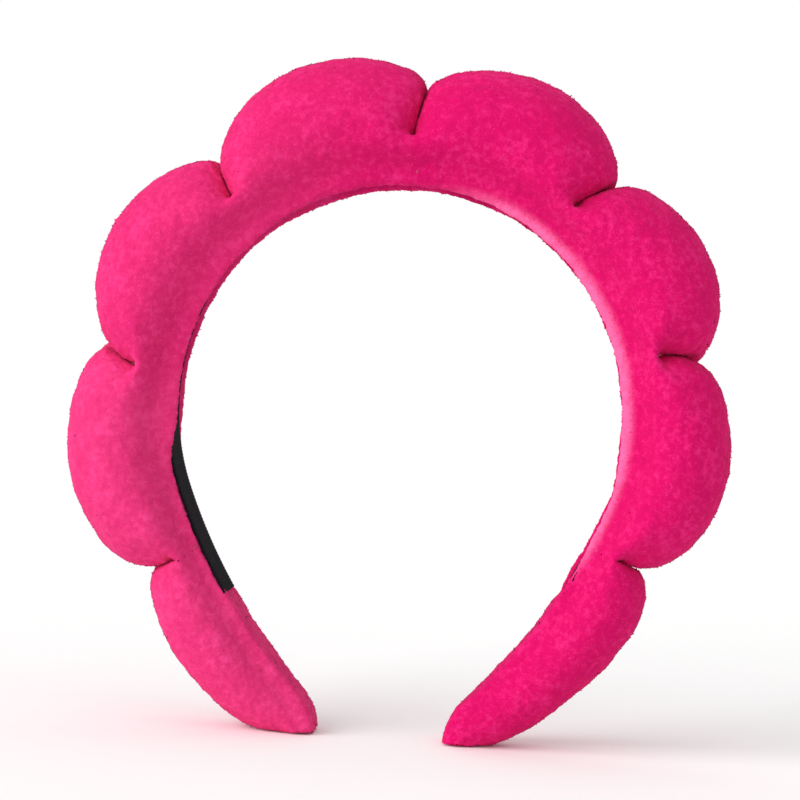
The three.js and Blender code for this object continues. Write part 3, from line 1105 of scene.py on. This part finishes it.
def twisted_loop(name, band, station):
    """Two plies of thread twisted together round the hoop and its lining."""
    half = float(band.half_width(station)) + LOOP_ROOM
    turn = np.linspace(0, 2 * math.pi, LOOP_POINTS + 1)[:-1]
    depth = np.sign(np.cos(turn)) * np.abs(np.cos(turn)) ** LOOP_POWER * half
    out = np.sign(np.sin(turn)) * np.abs(np.sin(turn)) ** LOOP_POWER * LOOP_HALF_HEIGHT
    around = np.linspace(0, 2 * math.pi, PLY_SIDES + 1)[:-1]
    along = band.along(station)
    middle = band.place(station, depth, out)
    outward = band.place(station, depth * 1.01, out * 1.2) - middle
    outward /= np.linalg.norm(outward, axis=1, keepdims=True)
    points, faces = [], []
    quads = grid_faces(LOOP_POINTS, PLY_SIDES, joined=True)
    for ply, start in enumerate((0, math.pi)):
        twist = turn * PLY_TWISTS + start
        spiral = np.cos(twist)[:, None] * outward + np.sin(twist)[:, None] * along
        centre = middle + PLY_RADIUS * spiral
        ring = np.cos(around)[None, :, None] * outward[:, None] + np.sin(around)[None, :, None] * along
        points.append((centre[:, None] + PLY_RADIUS * ring).reshape(-1, 3))
        faces += (quads + ply * LOOP_POINTS * PLY_SIDES).tolist()
    piece = mesh_piece(name, np.concatenate(points), faces)
    make_active(piece)
    bpy.ops.object.mode_set(mode="EDIT")
    bpy.ops.mesh.select_all(action="SELECT")
    bpy.ops.mesh.normals_make_consistent(inside=False)
    bpy.ops.object.mode_set(mode="OBJECT")
    return piece


class HEADBAND_OT_ties(bpy.types.Operator):
    """Make the twisted ties that cinch the cover at each pinch"""

    bl_idname = "headband.ties"
    bl_label = "Ties"

    def execute(self, context):
        surface = ready("thread", thread_surface)
        band = Band(sizes())
        for name in [n for n in frame["nodes"] if n.startswith("tie_")]:
            low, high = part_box(name)
            station = band.station_of(np.array((low + high) / 2))
            piece = twisted_loop(f"thread_{name}", band, station)
            give(piece, surface)
            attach(piece, frame["nodes"][name]["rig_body"])
            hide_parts(name)
        return {"FINISHED"}


def add_camera():
    """A long lens a little to the right of the band."""
    data = bpy.data.cameras.new("camera")
    data.sensor_width = 36
    data.lens = LENS
    data.clip_start, data.clip_end = 0.01, 50
    camera = bpy.data.objects.new("camera", data)
    forward = (Vector(LOOK_AT) - Vector(EYE)).normalized()
    level = forward.cross(Vector((0, 0, 1))).normalized()
    upright = level.cross(forward)
    right = level * math.cos(ROLL) + upright * math.sin(ROLL)
    up = upright * math.cos(ROLL) - level * math.sin(ROLL)
    axes = Matrix((right, up, -forward)).transposed().to_4x4()
    camera.matrix_world = Matrix.Translation(EYE) @ axes
    bpy.context.scene.collection.objects.link(camera)
    bpy.context.scene.camera = camera


def add_world(scene):
    """An even white surround: what is seen of it is pure white, and its light is softer."""
    world = bpy.data.worlds.new("studio")
    world.use_nodes = True
    tree = world.node_tree
    tree.nodes.clear()
    seen = node(tree, "ShaderNodeLightPath").outputs["Is Camera Ray"]
    strength = node(tree, "ShaderNodeMapRange", {"Value": seen}, {"To Min": SURROUND_LIGHT, "To Max": 1.0})
    surround = node(tree, "ShaderNodeBackground", {"Strength": strength.outputs[0]})
    surround.inputs["Color"].default_value = (1, 1, 1, 1)
    node(tree, "ShaderNodeOutputWorld", {"Surface": surround.outputs[0]})
    scene.world = world


def add_key():
    """One very wide light from the front left, like a large window."""
    data = bpy.data.lights.new("key", "SUN")
    data.energy = KEY_LIGHT
    data.angle = math.radians(KEY_SPREAD)
    light = bpy.data.objects.new("key", data)
    light.rotation_euler = (-Vector(KEY_FROM)).to_track_quat("-Z", "Y").to_euler()
    bpy.context.scene.collection.objects.link(light)


class HEADBAND_OT_studio(bpy.types.Operator):
    """Set up the floor, the lights and the camera"""

    bl_idname = "headband.studio"
    bl_label = "Studio"

    def execute(self, context):
        scene = context.scene
        scene.view_settings.view_transform = "Standard"
        bpy.ops.object.select_all(action="DESELECT")
        bpy.ops.mesh.primitive_plane_add(size=FLOOR_SIZE, location=(0, 0, 0))
        floor = context.active_object
        floor.name = "studio_floor"
        give(floor, ready("floor", floor_surface))
        add_world(scene)
        add_key()
        add_camera()
        return {"FINISHED"}


OPERATORS = (
    HEADBAND_OT_hoop,
    HEADBAND_OT_foam_pads,
    HEADBAND_OT_lining_ribbon,
    HEADBAND_OT_ties,
    HEADBAND_OT_terry_cover,
    HEADBAND_OT_studio,
)


class HEADBAND_PT_build(bpy.types.Panel):
    """The headband's sizes, colours and pieces"""

    bl_idname = "HEADBAND_PT_build"
    bl_label = "Spa Headband"
    bl_space_type = "VIEW_3D"
    bl_region_type = "UI"
    bl_category = "Headband"

    def draw(self, context):
        for group in (context.scene.headband_sizes, context.scene.headband_colours):
            box = self.layout.box()
            for name in group.__annotations__:
                box.prop(group, name)
        for operator in OPERATORS:
            self.layout.operator(operator.bl_idname)


CLASSES = (HeadbandSizes, HeadbandColours, *OPERATORS, HEADBAND_PT_build)


def register():
    for cls in CLASSES:
        bpy.utils.register_class(cls)
    bpy.types.Scene.headband_sizes = bpy.props.PointerProperty(type=HeadbandSizes)
    bpy.types.Scene.headband_colours = bpy.props.PointerProperty(type=HeadbandColours)


def unregister():
    del bpy.types.Scene.headband_colours
    del bpy.types.Scene.headband_sizes
    for cls in reversed(CLASSES):
        bpy.utils.unregister_class(cls)


def main():
    register()
    bpy.ops.headband.hoop()
    bpy.ops.headband.foam_pads()
    bpy.ops.headband.lining_ribbon()
    bpy.ops.headband.ties()
    bpy.ops.headband.terry_cover()
    bpy.ops.headband.studio()


if __name__ == "__main__":
    main()
